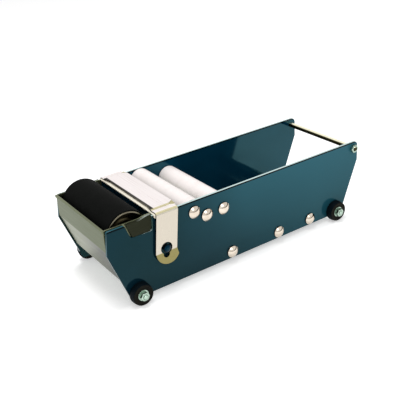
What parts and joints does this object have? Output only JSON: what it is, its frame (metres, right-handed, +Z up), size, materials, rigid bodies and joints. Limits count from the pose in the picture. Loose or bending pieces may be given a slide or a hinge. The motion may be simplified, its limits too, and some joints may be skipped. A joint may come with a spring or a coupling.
{
  "type": "gummed tape dispenser",
  "caption": "Bench dispenser for gummed paper tape: steel side plates, roll bay, guide rollers, toothed blade under a lift-up cover, and a lift-out water tank with a wetting roller.",
  "frame": {"origin": "middle of the footprint, at the table under the feet", "axes": "+X from the tape exit to the rear of the roll bay, +Y to the operator's left, +Z up"},
  "size_m": [0.27, 0.1112, 0.082],
  "materials": {
    "blue_enamel": "gloss enamel",
    "dark_enamel": "satin enamel",
    "zinc_plated": "bright zinc plate",
    "black_rubber": "moulded",
    "blade_steel": "ground",
    "satin_stainless": "satin",
    "polished_cap": "polished",
    "white_nylon": "moulded",
    "roller_steel": "turned",
    "tank_steel": "satin",
    "drum_steel": "drawn",
    "sleeve_rubber": "ground"
  },
  "bodies": {
    "frame": {"side_plate_right": "blue_enamel", "side_plate_left": "blue_enamel", "floor_pan": "dark_enamel", "front_foot_rod": "zinc_plated", "rear_foot_rod": "zinc_plated", "rear_tie_rod": "zinc_plated", "rear_tie_nuts": "zinc_plated", "foot_front_right": "black_rubber", "foot_front_left": "black_rubber", "foot_rear_right": "black_rubber", "foot_rear_left": "black_rubber", "foot_washers": "zinc_plated", "foot_nuts": "zinc_plated", "blade_bridge": "blade_steel", "blade_rivets": "zinc_plated", "cover_studs": "blue_enamel", "guide_axle_front": "zinc_plated", "guide_axle_rear": "zinc_plated", "tension_rod": "zinc_plated", "guide_axle_caps": "polished_cap", "support_axle_front": "zinc_plated", "support_axle_middle": "zinc_plated", "support_axle_rear": "zinc_plated", "support_axle_caps": "polished_cap"},
    "cover": {"cover_plate": "satin_stainless"},
    "tank": {"water_tank": "tank_steel", "tank_lug_right": "tank_steel", "tank_lug_left": "tank_steel", "axle_cradle_right": "tank_steel", "axle_cradle_left": "tank_steel"},
    "wet_axle": {"wet_roller_axle": "zinc_plated", "wet_axle_clips": "zinc_plated"},
    "wet_roller": {"wet_roller_drum": "drum_steel", "wet_drum_ends": "drum_steel", "wet_roller_sleeve": "sleeve_rubber"},
    "guide_front": {"guide_roller_front": "white_nylon"},
    "guide_rear": {"guide_roller_rear": "white_nylon"},
    "support_front": {"support_roller_front": "roller_steel"},
    "support_middle": {"support_roller_middle": "roller_steel"},
    "support_rear": {"support_roller_rear": "roller_steel"}
  },
  "joints": [
    {"name": "tank_lift", "type": "slide", "parent": "frame", "child": "tank", "axis": [0, 0, 1], "range_m": [0, 0.07]},
    {"name": "wet_roller_lift", "type": "slide", "parent": "tank", "child": "wet_axle", "axis": [0, 0, 1], "range_m": [0, 0.04]},
    {"name": "wet_roller_spin", "type": "hinge", "parent": "wet_axle", "child": "wet_roller", "pos_m": [-0.1121, 0, 0.06315], "axis": [0, 1, 0], "continuous": true},
    {"name": "cover_lift", "type": "slide", "parent": "frame", "child": "cover", "axis": [0.1184, 0, 0.993], "range_m": [0, 0.0055]},
    {"name": "guide_front_spin", "type": "hinge", "parent": "frame", "child": "guide_front", "pos_m": [-0.0526, 0, 0.06245], "axis": [0, 1, 0], "continuous": true},
    {"name": "guide_rear_spin", "type": "hinge", "parent": "frame", "child": "guide_rear", "pos_m": [-0.0231, 0, 0.05595], "axis": [0, 1, 0], "continuous": true},
    {"name": "support_front_spin", "type": "hinge", "parent": "frame", "child": "support_front", "pos_m": [-0.0162, 0, 0.01085], "axis": [0, 1, 0], "continuous": true},
    {"name": "support_middle_spin", "type": "hinge", "parent": "frame", "child": "support_middle", "pos_m": [0.0367, 0, 0.01085], "axis": [0, 1, 0], "continuous": true},
    {"name": "support_rear_spin", "type": "hinge", "parent": "frame", "child": "support_rear", "pos_m": [0.0746, 0, 0.01085], "axis": [0, 1, 0], "continuous": true}
  ]
}
